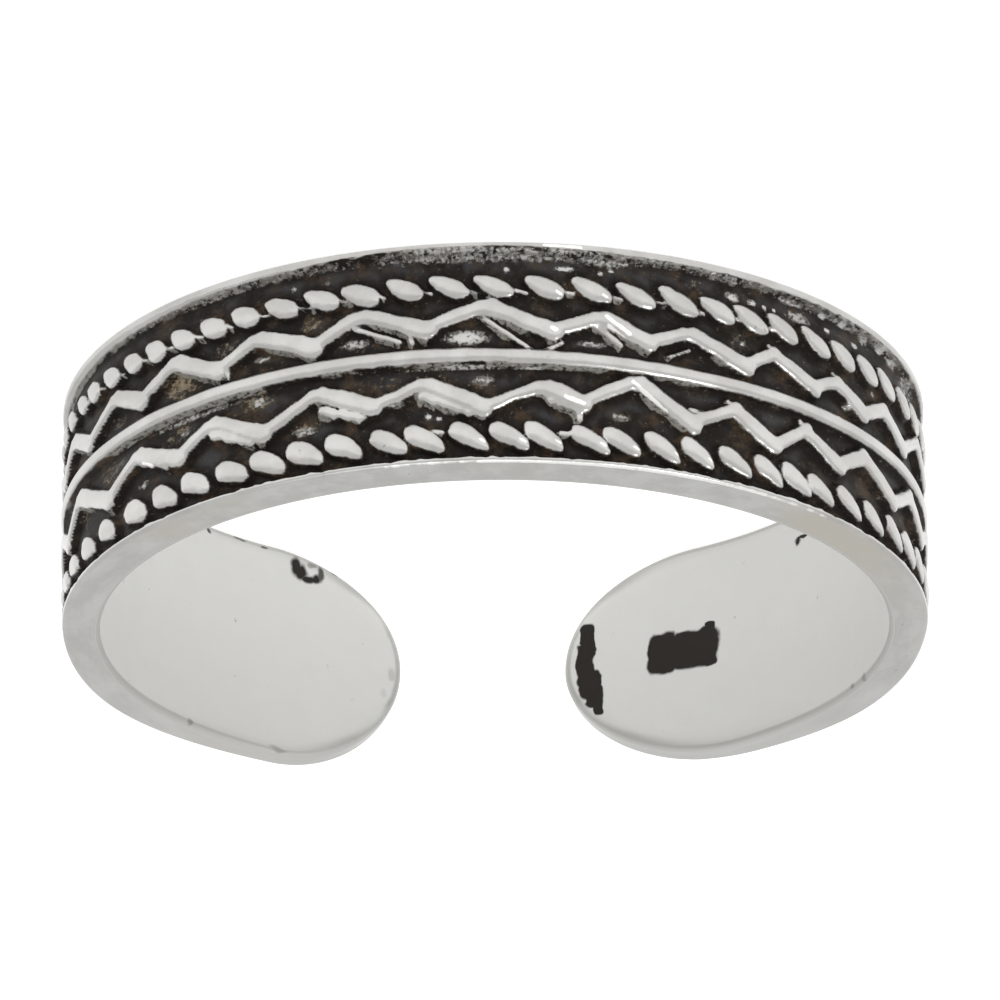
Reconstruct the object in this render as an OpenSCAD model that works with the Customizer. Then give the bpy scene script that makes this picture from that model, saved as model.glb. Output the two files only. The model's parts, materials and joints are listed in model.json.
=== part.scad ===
// Adjustable toe ring: one open cast band with a raised pattern in a dark sunk field.
// The bore runs along Z from the lower rim at z = 0, the patterned front faces -Y
// and the gap between the rounded ends faces +Y.

/* [Band] */
// Inside diameter, across the bore
bore_d = 15.5; // [13:0.1:19]
// Wall at the patterned front, rim surface to bore
wall_front = 1.02; // [0.8:0.02:1.6]
// Wall at the two ends
wall_back = 0.48; // [0.4:0.02:0.8]
// Width of the band along the bore
band_w = 4.55; // [3.5:0.05:7]
// Rounding of the outer edges of both rims
rim_round = 0.07; // [0.04:0.01:0.2]
// Bevel where the bore meets both rims
bore_bevel = 0.08; // [0.03:0.01:0.15]

/* [Ends] */
// Clear gap between the two tips, straight across
gap_w = 3.3; // [1:0.1:6]
// Length of each rounded end along the band
end_len = 2.85; // [2:0.05:4]
// Plain stretch between the pattern and each rounded end
plain_len = 1.2; // [0.5:0.1:3]

/* [Sunk field] */
// Depth of the field below the rims
field_depth = 0.17; // [0.08:0.01:0.3]
// Width of the rim below the field
low_rim_w = 0.17; // [0.12:0.01:0.5]
// Width of the rim above the field
high_rim_w = 0.09; // [0.08:0.01:0.5]
// Run of the field's sloping side walls
field_slope = 0.05; // [0.02:0.01:0.12]

/* [Relief] */
// Height of ridges and rope beads above the field
relief_h = 0.2; // [0.1:0.01:0.3]
// Width of the centre rib at its foot
rib_w = 0.32; // [0.2:0.01:0.5]
// Width of the two zigzag ridges at their foot
zigzag_w = 0.3; // [0.2:0.01:0.4]
// Angle from one zigzag peak to the next where the pattern runs on round the back
zigzag_pitch = 13.9; // [10:0.1:20]
// Length of a bead in the rope line near the lower rim
low_bead_len = 0.76; // [0.5:0.01:1]
// Length of a bead in the rope line near the upper rim
high_bead_len = 0.86; // [0.5:0.01:1]
// Width of a rope bead, as a share of its length
bead_w = 0.54; // [0.4:0.01:0.7]
// Slant of the rope beads to the rim
bead_slant = 33; // [0:1:60]
// Angle from one rope bead to the next where the pattern runs on round the back
bead_pitch = 5.7; // [5:0.1:9]

/* [Hidden] */
$fn = 180;

bore_r = bore_d / 2;
rim_r = (bore_d + wall_front + wall_back) / 2;
// The outside is turned about an axis nearer the front than the bore's
offset_y = -(wall_front - wall_back) / 2;
field_r = rim_r - field_depth;
tip_angle = asin(gap_w / 2 / bore_r);
end_angle = end_len / bore_r * 180 / PI;
plain_angle = plain_len / rim_r * 180 / PI;
// Angle from the front at which the sunk field stops
field_half = 180 - tip_angle - end_angle - plain_angle;
// How far ridges and beads stay short of the field's end
field_margin = 2.5;
relief_half = field_half - field_margin;
// How deep the foot of a ridge or bead reaches below the field
foot_depth = 0.08;
// How far a cut runs past the surface that it leaves through
past = 1;
rib_steps = 60;

// Columns: angle from the front in degrees, height as a share of band_w
RIB = [[90, 0.505], [30, 0.507], [10, 0.512], [-10, 0.527], [-25, 0.537], [-90, 0.542]];
// Columns: angle and height of a low corner, then of the high corner after it; heights as in RIB
LOW_ZIGZAG = [
    [76.8, 0.312, 70.0, 0.413], [61.7, 0.303, 55.3, 0.391], [48.0, 0.290, 40.5, 0.407],
    [34.0, 0.308, 25.8, 0.409], [19.4, 0.299, 10.6, 0.387], [2.8, 0.292, -5.6, 0.400],
    [-12.4, 0.325, -18.6, 0.413], [-24.6, 0.341, -33.0, 0.435], [-37.8, 0.341, -45.0, 0.429],
    [-49.8, 0.352, -55.8, 0.429], [-61.6, 0.345, -68.5, 0.440]];
HIGH_ZIGZAG = [
    [73.7, 0.611, 63.5, 0.752], [56.0, 0.637, 47.6, 0.738], [41.5, 0.637, 33.0, 0.752],
    [25.3, 0.620, 17.6, 0.719], [10.7, 0.637, 3.2, 0.754], [-4.6, 0.655, -9.6, 0.719],
    [-17.0, 0.598, -24.6, 0.752], [-31.0, 0.648, -37.4, 0.758], [-43.0, 0.644, -49.8, 0.732],
    [-55.7, 0.631, -64.0, 0.741]];
// Heights of the zigzag corners round the back: low corner, high corner
LOW_BACK = [0.32, 0.415];
HIGH_BACK = [0.63, 0.74];
// Bead places on the front, in degrees from the middle of the front
LOW_ROPE = [
    73.0, 68.6, 63.0, 57.3, 52.2, 46.8, 41.3, 36.0, 30.3, 24.6, 19.2, 13.3, 7.5,
    1.7, -4.9, -11.0, -17.0, -23.0, -28.8, -34.0, -39.4, -45.6, -51.3, -57.2, -62.8, -69.0];
HIGH_ROPE = [
    77.0, 70.5, 64.0, 56.6, 50.2, 44.4, 38.2, 32.5, 27.0, 21.5, 15.5, 10.8, 5.0,
    -0.2, -4.6, -10.6, -14.9, -20.5, -25.5, -31.2, -36.5, -41.3, -46.0, -52.0, -58.0, -64.5, -70.3];
// Height of each rope line as a share of band_w, at angle 90 and at angle -90
LOW_ROPE_LINE = [0.200, 0.235];
HIGH_ROPE_LINE = [0.888, 0.885];
// Outline of a bead, narrow end first. Columns: share of its length, share of its width
BEAD_OUTLINE = [
    [-0.5, 0.1], [-0.36, -0.3], [0, -0.5], [0.32, -0.42],
    [0.5, -0.05], [0.4, 0.36], [0.05, 0.5], [-0.3, 0.4]];
// Section of a ridge above the field. Columns: share of its foot width, share of its height
RIDGE_SECTION = [[-0.36, 0.7], [-0.12, 1], [0.12, 1], [0.36, 0.7]];

// A place on the wall, from an angle, a height along the bore and a radius
function on_wall(angle, z, r) = [r * sin(angle), offset_y - r * cos(angle), z];

// Degrees of turn for a length along the field
function turn(length) = length / field_r * 180 / PI;

// Straight run between the rows of a table of [angle, value], held level past both ends
function along(table, angle) =
    angle >= table[0][0] ? table[0][1] :
    angle <= table[len(table) - 1][0] ? table[len(table) - 1][1] :
    lookup(-angle, [for (row = table) [-row[0], row[1]]]);

// The zigzag's corners as [angle, z]: the charted front with a regular back on both sides
function zigzag_path(chart, back) =
    let (
        first = chart[0][0],
        last = chart[len(chart) - 1][2],
        step = zigzag_pitch / 2,
        before = floor((relief_half - first) / step),
        after = floor((relief_half + last) / step),
        corners = concat(
            [for (k = [before : -1 : 1]) [first + k * step, back[k % 2]]],
            [for (row = chart, i = [0, 2]) [row[i], row[i + 1]]],
            [for (k = [1 : after]) [last - k * step, back[1 - k % 2]]]))
    [for (c = corners) if (abs(c[0]) <= relief_half) [c[0], c[1] * band_w]];

// The same path with a middle point in every straight run
function halved(path) = concat(
    [for (i = [0 : len(path) - 2], h = [0, 0.5]) path[i] * (1 - h) + path[i + 1] * h],
    [path[len(path) - 1]]);

// The centre rib's line, in even steps from one end of the relief to the other
function rib_path() =
    [for (i = [0 : rib_steps])
        let (a = relief_half * (1 - 2 * i / rib_steps)) [a, along(RIB, a) * band_w]];

// All bead places: the charted front with a regular back on both sides
function rope_places(chart, bead_len) =
    let (first = chart[0], last = chart[len(chart) - 1], limit = relief_half - turn(bead_len / 2))
    [for (a = concat(
        [for (a = [first + bead_pitch : bead_pitch : limit]) a],
        chart,
        [for (a = [last - bead_pitch : -bead_pitch : -limit]) a]))
        if (abs(a) <= limit) a];

// Unit vector along a path, in lengths on the flattened field
function heading(a, b) = let (d = [(a[0] - b[0]) * field_r * PI / 180, b[1] - a[1]]) d / norm(d);

// A rounded ridge on the field, swept along a path of [angle, z] with mitred corners
module ridge(path, width) {
    last = len(path) - 1;
    foot = -foot_depth / relief_h;
    section = concat([[-0.5, foot]], RIDGE_SECTION, [[0.5, foot]]);
    sides = len(section);
    rings = [for (i = [0 : last])
        let (
            h0 = heading(path[max(i - 1, 0)], path[max(i, 1)]),
            h1 = heading(path[min(i, last - 1)], path[min(i + 1, last)]),
            across = [-(h0[1] + h1[1]), h0[0] + h1[0]] / (1 + h0 * h1))
        [for (s = section)
            let (side = across * s[0] * width)
            on_wall(path[i][0] - turn(side[0]), path[i][1] + side[1], field_r + s[1] * relief_h)]];
    polyhedron(
        points = [for (ring = rings, p = ring) p],
        faces = concat(
            [[for (j = [0 : sides - 1]) j]],
            [for (i = [0 : last - 1], j = [0 : sides - 1])
                [i * sides + j, (i + 1) * sides + j, (i + 1) * sides + (j + 1) % sides,
                    i * sides + (j + 1) % sides]],
            [[for (j = [sides - 1 : -1 : 0]) last * sides + j]]));
}

// One slanted leaf-shaped rope bead, domed above the field
module bead(angle, z, bead_len) {
    n = len(BEAD_OUTLINE);
    // Columns: share of the outline's size, height above the field
    levels = [[1, -foot_depth], [0.94, relief_h * 0.55], [0.6, relief_h]];
    rings = [for (level = levels, p = BEAD_OUTLINE)
        let (
            u = p[0] * bead_len * level[0],
            v = p[1] * bead_len * bead_w * level[0],
            x = u * cos(bead_slant) - v * sin(bead_slant),
            y = u * sin(bead_slant) + v * cos(bead_slant))
        on_wall(angle - turn(x), z + y, field_r + level[1])];
    polyhedron(
        points = rings,
        faces = concat(
            [[for (j = [n - 1 : -1 : 0]) j]],
            [for (i = [0 : len(levels) - 2], j = [0 : n - 1])
                [i * n + j, i * n + (j + 1) % n, (i + 1) * n + (j + 1) % n, (i + 1) * n + j]],
            [[for (j = [0 : n - 1]) (len(levels) - 1) * n + j]]));
}

// One line of beads, at a height that runs evenly between the two shares in line
module rope(chart, line, bead_len) {
    for (a = rope_places(chart, bead_len))
        bead(a, along([[90, line[0]], [-90, line[1]]], a) * band_w, bead_len);
}

// Solid disc that the band is cut from, with rounded outer edges
module blank() {
    translate([0, offset_y, 0]) rotate_extrude() polygon(concat(
        [[0, 0]],
        [for (a = [-90 : 15 : 0]) [rim_r - rim_round * (1 - cos(a)), rim_round * (1 + sin(a))]],
        [for (a = [0 : 15 : 90]) [rim_r - rim_round * (1 - cos(a)), band_w - rim_round * (1 - sin(a))]],
        [[0, band_w]]));
}

// The finger opening, bevelled at both rims
module bore() {
    rotate_extrude() polygon([
        [0, -past], [bore_r + bore_bevel + past, -past], [bore_r, bore_bevel],
        [bore_r, band_w - bore_bevel], [bore_r + bore_bevel + past, band_w + past], [0, band_w + past]]);
}

// The sunk field round the front, with sloping side walls
module field() {
    translate([0, offset_y, 0]) rotate([0, 0, -90 - field_half])
        rotate_extrude(angle = 2 * field_half) polygon([
            [rim_r + past, low_rim_w - field_slope * past / field_depth],
            [field_r, low_rim_w + field_slope], [field_r, band_w - high_rim_w - field_slope],
            [rim_r + past, band_w - high_rim_w + field_slope * past / field_depth]]);
}

// All that lies past the rounded end on one side, +1 or -1, to beyond the middle of the gap
module end_cut(side) {
    curve = [for (a = [90 : -7.5 : -90]) [
        -side * bore_r * sin(end_angle * (1 - cos(a))), band_w / 2 * (1 + sin(a))]];
    rest = [for (z = [-past, band_w + past]) [side * gap_w * 0.6, z]];
    rotate([0, 0, side * (180 - tip_angle)]) rotate([90, 0, 0])
        linear_extrude(height = rim_r + past) polygon(concat(
            curve, [[curve[0][0], -past]], rest, [[curve[0][0], band_w + past]]));
}

module band() {
    color("silver") union() {
        difference() {
            blank();
            bore();
            field();
            end_cut(1);
            end_cut(-1);
        }
        ridge(rib_path(), rib_w);
        ridge(halved(zigzag_path(LOW_ZIGZAG, LOW_BACK)), zigzag_w);
        ridge(halved(zigzag_path(HIGH_ZIGZAG, HIGH_BACK)), zigzag_w);
        rope(LOW_ROPE, LOW_ROPE_LINE, low_bead_len);
        rope(HIGH_ROPE, HIGH_ROPE_LINE, high_bead_len);
    }
}

band();
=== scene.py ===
"""Looks of the adjustable toe ring, in the frame of its solid.

Lengths are in mm until a mesh is made. A place on the outside is an angle about the axis
of the outer wall, 0 at the front and + towards +X, and a height z above the lower rim."""

import json
import math

import bpy
import numpy as np
from mathutils import Matrix, Vector


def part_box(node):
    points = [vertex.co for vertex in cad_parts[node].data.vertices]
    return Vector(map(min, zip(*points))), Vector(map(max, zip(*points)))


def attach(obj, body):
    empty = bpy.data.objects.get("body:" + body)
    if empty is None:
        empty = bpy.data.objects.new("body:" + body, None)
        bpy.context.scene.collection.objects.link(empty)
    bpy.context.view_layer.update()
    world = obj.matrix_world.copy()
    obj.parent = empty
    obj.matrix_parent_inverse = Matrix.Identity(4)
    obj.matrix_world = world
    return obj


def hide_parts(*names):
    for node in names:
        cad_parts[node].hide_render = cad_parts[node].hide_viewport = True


MM = 0.001

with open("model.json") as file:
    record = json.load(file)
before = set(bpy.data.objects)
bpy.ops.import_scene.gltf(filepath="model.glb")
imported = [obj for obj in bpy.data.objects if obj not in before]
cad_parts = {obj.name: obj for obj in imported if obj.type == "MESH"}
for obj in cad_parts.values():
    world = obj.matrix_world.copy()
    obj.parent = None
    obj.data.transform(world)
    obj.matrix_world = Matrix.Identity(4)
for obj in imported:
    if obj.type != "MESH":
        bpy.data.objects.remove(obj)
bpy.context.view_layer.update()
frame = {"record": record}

# Sizes that the frame gives. The raised forms stand a little proud of the rims, and the outer
# wall's axis lies OFFSET_Y from the bore's
low, high = (np.array(corner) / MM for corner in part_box("band"))
BORE_R = next(m for m in frame["record"]["mounts"] if m["name"] == "toe_bore")["dims"]["r_mm"]
BAND_W = high[2] - low[2]
PROUD = 0.03
RIM_R = high[0] - PROUD
OFFSET_Y = low[1] + high[0]

# Depth of the sunk field, width of each rim on the outside and of the slopes beside the field
FIELD_DEPTH = 0.17
LOW_RIM = 0.17
HIGH_RIM = 0.09
SLOPE = 0.05
LOW_RIM_SLOPE = 0.1
RELIEF_H = FIELD_DEPTH + PROUD
FIELD_R = RIM_R - FIELD_DEPTH
# Rounding of the rims' edges, and of the bore's at the front and at the ends
RIM_ROUND = 0.07
BORE_ROUND = 0.08
END_BORE_ROUND = 0.14
END_BORE_ANGLES = [math.radians(105), math.radians(140)]
# The gap, the length of a rounded end, that of the -X end's high side, and the plain wall
# between the field and an end. The pattern stops some degrees short of the field's end
GAP_W = 3.3
END_LEN = 2.85
LONG_CUT = 3.95
PLAIN_LEN = 1.2
FIELD_MARGIN = 2.5
# Extra thickness of the wall at the shoulders, and the angles where it starts, peaks and ends
SHOULDER = 0.17
SHOULDER_ANGLES = [92, 122, 150]
# How fast the grain's place moves on along the wall at the sides, against 1 at the front
SIDE_GRAIN = 0.4

TIP = math.asin(GAP_W / 2 / BORE_R)
END_ANGLE = END_LEN / BORE_R
FIELD_HALF = math.pi - TIP - END_ANGLE - PLAIN_LEN / RIM_R
RELIEF_HALF = math.degrees(FIELD_HALF) - FIELD_MARGIN

# Pattern. Columns: angle in degrees, height as a share of the band's width
RIB = [[90, 0.505], [30, 0.507], [10, 0.512], [-10, 0.527], [-25, 0.537], [-90, 0.542]]
LOW_ZIGZAG = [
    [76.8, 0.312], [70.0, 0.413], [61.7, 0.303], [55.3, 0.391], [48.0, 0.290], [40.5, 0.407],
    [34.0, 0.308], [25.8, 0.409], [19.4, 0.299], [10.6, 0.387], [2.8, 0.292], [-5.6, 0.400],
    [-12.4, 0.325], [-18.6, 0.413], [-24.6, 0.341], [-33.0, 0.435], [-37.8, 0.341], [-45.0, 0.429],
    [-49.8, 0.352], [-55.8, 0.429], [-61.6, 0.345], [-68.5, 0.440]]
HIGH_ZIGZAG = [
    [73.7, 0.611], [63.5, 0.752], [56.0, 0.637], [47.6, 0.738], [41.5, 0.637], [33.0, 0.752],
    [25.3, 0.620], [17.6, 0.719], [10.7, 0.637], [3.2, 0.754], [-4.6, 0.655], [-9.6, 0.719],
    [-17.0, 0.598], [-24.6, 0.752], [-31.0, 0.648], [-37.4, 0.758], [-43.0, 0.644], [-49.8, 0.732],
    [-55.7, 0.631], [-64.0, 0.741]]
LOW_BACK = [0.32, 0.415]
HIGH_BACK = [0.63, 0.74]
ZIGZAG_PITCH = 13.9
# Length in mm cut from a rounded corner, and the angle past which the corners are sharp
ROUND_CORNER = 0.1
SHARP_FROM = -28
RIB_W = 0.27
LOW_ROPE = [
    73.0, 68.6, 63.0, 57.3, 52.2, 46.8, 41.3, 36.0, 30.3, 24.6, 19.2, 13.3, 7.5,
    1.7, -4.9, -11.0, -17.0, -23.0, -28.8, -34.0, -39.4, -45.6, -51.3, -57.2, -62.8, -69.0]
HIGH_ROPE = [
    77.0, 70.5, 64.0, 56.6, 50.2, 44.4, 38.2, 32.5, 27.0, 21.5, 15.5, 10.8, 5.0,
    -0.2, -4.6, -10.6, -14.9, -20.5, -25.5, -31.2, -36.5, -41.3, -46.0, -52.0, -58.0, -64.5, -70.3]
LOW_ROPE_LINE = [0.192, 0.225]
HIGH_ROPE_LINE = [0.888, 0.885]
BEAD_PITCH = 5.7
# Columns: angle, length of the beads there in mm, their slant to the rim in degrees, width
LOW_BEADS = [[90, 0.64, 18, 0.42], [44, 0.7, 18, 0.42], [30, 0.79, 19, 0.41], [0, 0.84, 21, 0.39],
             [-22, 0.86, 22, 0.4], [-42, 0.85, 17, 0.42], [-90, 0.84, 15, 0.43]]
HIGH_BEADS = [[90, 0.72, 22, 0.46], [60, 0.78, 22, 0.48], [42, 0.84, 23, 0.47],
              [25, 0.87, 28, 0.43], [0, 0.82, 31, 0.4], [-22, 0.84, 31, 0.4],
              [-42, 0.84, 25, 0.43], [-90, 0.84, 24, 0.44]]
# Outline of a bead in each line. Columns: share of its length, share of its width
LOW_OUTLINE = [
    [-0.52, -0.2], [-0.44, -0.36], [-0.3, -0.46], [-0.12, -0.5], [0.1, -0.5], [0.29, -0.42],
    [0.43, -0.26], [0.5, -0.02], [0.47, 0.2], [0.34, 0.38], [0.12, 0.47], [-0.13, 0.39],
    [-0.33, 0.19], [-0.46, 0.0]]
HIGH_OUTLINE = [
    [-0.5, 0.0], [-0.49, -0.22], [-0.37, -0.43], [-0.16, -0.5], [0.08, -0.47], [0.28, -0.38],
    [0.43, -0.22], [0.52, 0.05], [0.48, 0.22], [0.36, 0.31], [0.16, 0.36], [-0.06, 0.44],
    [-0.28, 0.45], [-0.43, 0.27]]
# Small raised lines beside the pattern. Columns: angle and z of one end, of the other, width
SPURS = [
    [2.9, 1.58, -3.2, 2.22, 0.07], [-4.6, 2.26, -7.2, 2.05, 0.07], [-11.9, 1.65, -15.0, 2.0, 0.1],
    [-21.9, 2.1, -24.6, 1.9, 0.05], [20.0, 1.6, 14.0, 1.97, 0.08], [12.7, 1.8, 12.3, 2.03, 0.07],
    [10.8, 1.85, 10.5, 1.98, 0.06], [38.8, 1.85, 38.8, 2.05, 0.06], [-9.3, 3.3, -9.4, 3.6, 0.11],
    [2.5, 1.3, 2.4, 1.15, 0.05], [9.8, 3.87, 8.5, 3.9, 0.07], [-6.9, 3.92, -8.1, 3.93, 0.09],
    [-37.4, 1.5, -37.2, 1.4, 0.1], [-49.6, 1.55, -49.4, 1.45, 0.1], [-30.6, 2.9, -30.4, 2.8, 0.1],
    [-42.7, 2.85, -42.6, 2.75, 0.1], [-24.6, 3.13, -26.9, 3.15, 0.07]]
# Lower worn banks beside some runs of the high zigzag. Columns as for the small raised lines
BANKS = [
    [10.6, 3.12, 4.9, 3.47, 0.26], [24.5, 3.18, 19.0, 3.47, 0.18], [40.9, 3.12, 35.0, 3.47, 0.24],
    [54.8, 3.05, 49.5, 3.36, 0.2], [-31.8, 3.02, -35.6, 3.33, 0.16], [-5.6, 3.24, -9.0, 3.36, 0.14]]
# Bright grains in the field. Columns: angle and z of the middle, half-widths in mm, strength
FLECKS = [
    [33.9, 1.82, 0.16, 0.05, 0.7], [20.2, 1.88, 0.26, 0.08, 0.7], [5.2, 1.93, 0.36, 0.12, 0.85],
    [-11.3, 2.0, 0.26, 0.06, 0.65], [34.2, 2.68, 0.16, 0.09, 0.6], [3.3, 2.83, 0.2, 0.09, 0.6],
    [47.0, 2.84, 0.12, 0.07, 0.5], [10.3, 3.53, 0.06, 0.05, 0.9], [9.0, 3.58, 0.05, 0.04, 0.9],
    [27.3, 3.5, 0.22, 0.09, 0.6], [14.8, 3.24, 0.16, 0.07, 0.6], [-15.0, 3.45, 0.16, 0.08, 0.6],
    [29.0, 0.5, 0.05, 0.05, 0.7], [24.0, 0.5, 0.05, 0.04, 0.6], [55.8, 3.48, 0.16, 0.06, 0.55],
    [0.0, 0.52, 0.05, 0.05, 0.9], [-7.8, 0.47, 0.16, 0.05, 1.0], [-12.5, 0.52, 0.05, 0.04, 0.9],
    [-14.0, 0.44, 0.05, 0.04, 0.9], [-28.3, 0.22, 0.04, 0.05, 1.0], [-31.6, 0.24, 0.1, 0.05, 0.7],
    [-31.7, 0.53, 0.13, 0.08, 1.0], [-34.9, 0.54, 0.09, 0.05, 0.9], [-37.0, 0.56, 0.05, 0.05, 0.9],
    [-38.7, 0.56, 0.05, 0.05, 0.9], [-41.7, 0.27, 0.3, 0.06, 0.7], [-43.1, 0.52, 0.3, 0.1, 0.62],
    [-47.8, 0.28, 0.1, 0.06, 0.9], [-49.0, 0.52, 0.08, 0.05, 1.0], [-52.1, 0.24, 0.1, 0.06, 0.9],
    [-55.4, 0.52, 0.1, 0.05, 0.9], [-57.5, 0.3, 0.16, 0.1, 0.6], [-62.4, 0.24, 0.14, 0.07, 0.9],
    [-66.7, 0.3, 0.2, 0.1, 0.7], [-74.0, 0.4, 0.5, 0.25, 0.5], [-60.2, 1.28, 0.06, 0.05, 0.9],
    [-33.2, 1.46, 0.05, 0.04, 0.9], [-52.6, 1.97, 0.07, 0.05, 0.9], [-55.0, 2.05, 0.07, 0.05, 0.9],
    [3.5, 0.21, 1.9, 0.14, 0.54], [-8.0, 0.22, 1.2, 0.11, 0.47], [42.0, 0.22, 3.4, 0.07, 0.45],
    [-30.0, 0.21, 3.0, 0.05, 0.4], [-55.0, 0.2, 2.4, 0.09, 0.4], [5.5, 2.55, 1.0, 0.03, 0.66],
    [-2.7, 2.57, 0.35, 0.03, 0.7], [44.5, 2.56, 1.1, 0.05, 0.6],
    [-13.3, 0.27, 0.45, 0.09, 0.56]]
# Golden dust between the raised lines. Columns as for the bright grains
DUST = [
    [47.8, 1.78, 0.42, 0.26, 1.0], [39.8, 1.38, 0.3, 0.14, 0.6], [31.5, 1.62, 0.4, 0.09, 0.7],
    [34.5, 2.68, 0.32, 0.15, 0.9], [48.5, 2.8, 0.4, 0.14, 0.6], [64.4, 2.75, 0.5, 0.16, 0.6],
    [62.7, 1.86, 0.3, 0.14, 0.5], [72.4, 3.18, 0.5, 0.2, 0.5], [26.3, 1.32, 0.2, 0.12, 0.8],
    [20.2, 1.9, 0.3, 0.1, 0.6], [27.3, 3.48, 0.3, 0.12, 0.5], [-26.1, 0.5, 0.2, 0.12, 0.4],
    [-32.8, 1.44, 0.2, 0.14, 0.5], [3.3, 2.85, 0.25, 0.12, 0.4], [14.0, 2.75, 1.2, 0.12, 0.3]]
# Painted highlights: nearly white streaks put where reflections of the light fall. Columns: angle
# and z of one end, of the other, half-width in mm, strength
PAINTED_HIGHLIGHTS = [
    [-9.7, 0.075, -5.0, 0.065, 0.03, 0.95],
    [16.0, BAND_W, -47.0, BAND_W, 0.035, 0.45], [4.0, BAND_W, -36.0, BAND_W, 0.035, 0.62],
    [-7.4, 3.2, -9.8, 3.31, 0.04, 0.8], [-16.4, 2.77, -21.0, 3.3, 0.04, 0.72],
    [-12.9, 1.47, -16.0, 1.79, 0.04, 0.75], [-13.2, 1.65, -15.2, 1.86, 0.035, 0.7],
    [-5.8, 1.79, -6.3, 1.82, 0.045, 0.75], [54.6, 3.12, 52.4, 3.29, 0.04, 0.7]]
# How far in mm the tarnish reaches onto the low rim, negative where the slope below the rim is
# rubbed bright as well. Columns: angle, reach
DULL_RIM = [
    [180, 0], [78, -0.06], [52, -0.04], [30, 0], [15, 0.075], [-1, 0.08], [-9, 0.05], [-20, 0.02],
    [-40, 0], [-60, 0.01], [-80, -0.03], [-180, 0.02]]
# Dark tarnish left on the bore, in squarish blobs. Columns: angle and z of the middle,
# half-widths in mm
STAINS = [
    [-152.1, 2.2, 0.34, 0.45], [-146.5, 2.23, 0.58, 0.42], [-143.8, 2.42, 0.18, 0.25],
    [-143.9, 1.87, 0.14, 0.16], [-164.0, 1.66, 0.16, 0.34], [-164.5, 2.1, 0.19, 0.36],
    [-164.4, 2.42, 0.2, 0.3], [-163.7, 2.68, 0.24, 0.3], [-163.0, 2.9, 0.19, 0.26],
    [-162.5, 3.1, 0.12, 0.24]]
# Round soft spots of it. Columns: the same, strength
SPOTS = [
    [150.4, 0.36, 0.11, 0.2, 1.0], [151.3, 0.45, 0.15, 0.17, 1.0], [152.6, 0.56, 0.15, 0.09, 1.0],
    [153.8, 0.55, 0.13, 0.1, 1.0], [154.7, 0.43, 0.08, 0.15, 0.9], [153.4, 0.27, 0.12, 0.05, 0.5],
    [134.0, 0.14, 0.07, 0.06, 0.9], [140.2, 0.09, 0.15, 0.04, 0.7], [144.8, 0.1, 0.08, 0.04, 0.8],
    [157.4, 0.37, 0.12, 0.05, 0.5], [-124.8, 0.6, 0.22, 0.05, 1.0], [-125.8, 0.68, 0.08, 0.1, 1.0],
    [166.1, 2.42, 0.09, 0.14, 0.22], [164.9, 2.86, 0.06, 0.09, 0.12], [147.3, 4.42, 0.2, 0.06, 0.3],
    [129.9, 4.48, 0.08, 0.07, 0.45], [-111.7, 4.49, 0.08, 0.05, 0.4],
    [-107.6, 4.49, 0.12, 0.05, 0.35]]

# Unevenness. Columns: about how far it goes and the size of its bumps, in mm
BEND_ALONG = [0.025, 0.9]
BEND_UP = [0.02, 0.7]
RUN_WIDTH = [0.012, 1.5]
RUN_EDGE = [0.007, 0.22]
FOOT_EDGE = [0.05, 0.8]
RIB_EDGE = [0.007, 0.6]
SPUR_EDGE = [0.008, 0.3]
BANK_EDGE = [0.028, 0.16]
BEAD_EDGE = [0.006, 0.25]
RIM_WAVE = [0.009, 0.5]
RIM_EDGE = [0.008, 0.17]
# How many waves make it up, and the range of their lengths in sizes of its bumps
WAVES = 7
WAVE_LENGTHS = [0.7, 1.6]
# How fast z counts where the bumps are drawn out up the wall
TALL_WIDTH = 0.3
TALL_BANK = 0.4
# How much of the unevenness each rim's inner edge has, and how far onto the rim it goes
HIGH_RIM_UNEVEN = 1.3
LOW_RIM_UNEVEN = 0.8
UNEVEN_REACH = 0.05
# Shares of a raised form's height that its steep wall, its round crown and a worn foot have, and
# how far that foot mostly reaches out and does at least
WALL_SHARE = 0.62
CROWN_SHARE = 0.38
FOOT_SHARE = 0.55
FOOT_REACH = 0.06
LEAST_FOOT = 0.001
# Half-width of the round crown of a zigzag and of a small raised line
ZIGZAG_CROWN = 0.15
SPUR_CROWN = 0.08
# Height of the small raised lines and of the worn banks against that of the pattern
SPUR_H = 0.6
BANK_H = 0.8
# Half-widths of a zigzag's runs at both ends, how far they may run on past a corner, how much
# further past a sharp one, and the rounding between runs
FALLING_HALVES = [0.125, 0.13]
RISING_HALVES = [0.152, 0.176]
PAST_CORNER = 0.07
PAST_SHARP = 0.04
CORNER_BLEND = 0.05
# Spread of the beads: shares of their length and width, turn in degrees, and in mm the height
# of their middle and the points of their outline
BEAD_LENGTHS = [0.95, 1.05]
BEAD_WIDTHS = [0.93, 1.07]
BEAD_TURN = 3
BEAD_SHIFT = 0.015
BEAD_RAGGED = 0.016
# Reach of a bead to each side of its middle, and the space kept for the last one
BEAD_REACH = 0.6
LAST_BEAD = 0.45
# Threads from the lower beads, but for the last few: start along and up from a bead's middle,
# rise, share of the way to the next bead, width
TAILLESS = 6
TAIL_START = [0.34, 0.03]
TAIL_RISE = [0.02, 0.09]
TAIL_SHARE = [0.25, 0.75]
TAIL_WIDTH = [0.03, 0.055]
# Painted highlight on a bead, a short white streak: angle and z of both ends from the bead's
# middle, half-width, strength. The angles between which each rope's beads have one
BEAD_HIGHLIGHT = [-1.5, 0.07, -2.1, 0.12, 0.033, 0.64]
LOW_BEAD_HIGHLIGHTS = [-12, 0]
HIGH_BEAD_HIGHLIGHTS = [-28, 8]
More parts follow.
